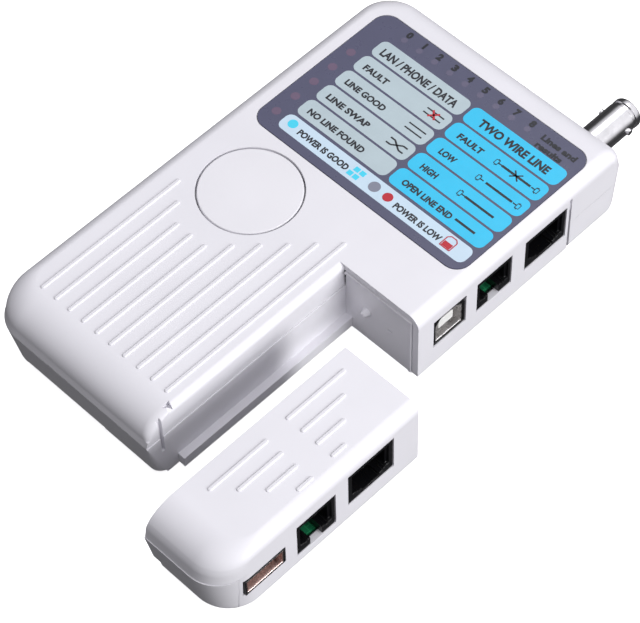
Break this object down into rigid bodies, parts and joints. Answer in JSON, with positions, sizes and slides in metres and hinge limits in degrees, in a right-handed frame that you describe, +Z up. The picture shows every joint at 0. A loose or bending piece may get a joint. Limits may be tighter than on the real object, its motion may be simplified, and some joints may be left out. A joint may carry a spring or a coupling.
{
  "type": "network cable tester",
  "caption": "Hand-held network cable tester with a printed label face, round test button, grip ribs, side sockets and a coaxial connector, and its detachable remote unit lying beside it",
  "frame": {"origin": "the middle of the main unit's flat underside", "axes": "+Z up out of the label face, +Y along the main unit towards the coaxial connector, +X across it towards the side with the sockets"},
  "size_m": [0.1052, 0.1882, 0.0254],
  "materials": {
    "case_plastic": "fine matte moulded ABS, off-white",
    "button_plastic": "smooth moulded ABS, off-white",
    "label_film": "printed polyester film, dark slate with pale and cyan fields",
    "board_laminate": "green solder mask over glass-fibre laminate",
    "jack_plastic": "black moulded jack body",
    "gold_plate": "gold-plated contact metal",
    "plated_metal": "bright nickel plate",
    "white_insulator": "white moulded insulator",
    "led_lens": "clear tinted epoxy lens",
    "battery_jacket": "printed steel jacket",
    "red_wire": "red vinyl insulation",
    "black_wire": "black vinyl insulation",
    "steel": "zinc-plated steel",
    "component_plastic": "moulded epoxy of electronic parts"
  },
  "bodies": {
    "root": {"main_top_shell": "case_plastic", "main_bottom_shell": "case_plastic", "label_overlay": "label_film", "main_circuit_board": "board_laminate", "test_switch_body": "steel", "main_lan_jack": "jack_plastic", "main_lan_contacts": "gold_plate", "main_phone_jack": "jack_plastic", "main_phone_contacts": "gold_plate", "usb_b_shell": "plated_metal", "usb_b_tongue": "white_insulator", "bnc_barrel": "plated_metal", "bnc_insulator": "white_insulator", "bnc_center_contact": "gold_plate", "bnc_lock_nut": "plated_metal", "bnc_rear_block": "component_plastic", "battery_9v": "battery_jacket", "battery_snap": "component_plastic", "battery_wire_red": "red_wire", "battery_wire_black": "black_wire", "pin_led_1": "led_lens", "pin_led_2": "led_lens", "pin_led_3": "led_lens", "pin_led_4": "led_lens", "pin_led_5": "led_lens", "pin_led_6": "led_lens", "pin_led_7": "led_lens", "pin_led_8": "led_lens", "pin_led_9": "led_lens", "status_led_1": "led_lens", "status_led_2": "led_lens", "status_led_3": "led_lens", "status_led_4": "led_lens", "status_led_5": "led_lens", "battery_led": "led_lens", "controller_chip": "component_plastic", "driver_chip": "component_plastic", "filter_capacitor": "component_plastic", "timing_crystal": "steel", "main_screw_1": "steel", "main_screw_2": "steel", "main_screw_3": "steel", "main_screw_4": "steel"},
    "test_button": {"test_button_cap": "button_plastic", "test_switch_plunger": "component_plastic"},
    "door": {"battery_door": "case_plastic"},
    "remote": {"remote_top_shell": "case_plastic", "remote_bottom_shell": "case_plastic", "remote_circuit_board": "board_laminate", "remote_lan_jack": "jack_plastic", "remote_lan_contacts": "gold_plate", "remote_phone_jack": "jack_plastic", "remote_phone_contacts": "gold_plate", "usb_a_shell": "plated_metal", "usb_a_tongue": "white_insulator", "remote_diode_array": "component_plastic", "remote_screw_1": "steel", "remote_screw_2": "steel"}
  },
  "joints": [
    {"name": "button_press", "type": "slide", "parent": "root", "child": "test_button", "axis": [0, 0, -1], "range_m": [0, 0.0012], "stiffness_N_per_m": 400},
    {"name": "battery_door_slide", "type": "slide", "parent": "root", "child": "door", "axis": [0, -1, 0], "range_m": [0, 0.055]},
    {"name": "remote_dock", "type": "slide", "parent": "root", "child": "remote", "axis": [-0.6991, 0.715, 0], "range_m": [0, 0.02503]}
  ]
}
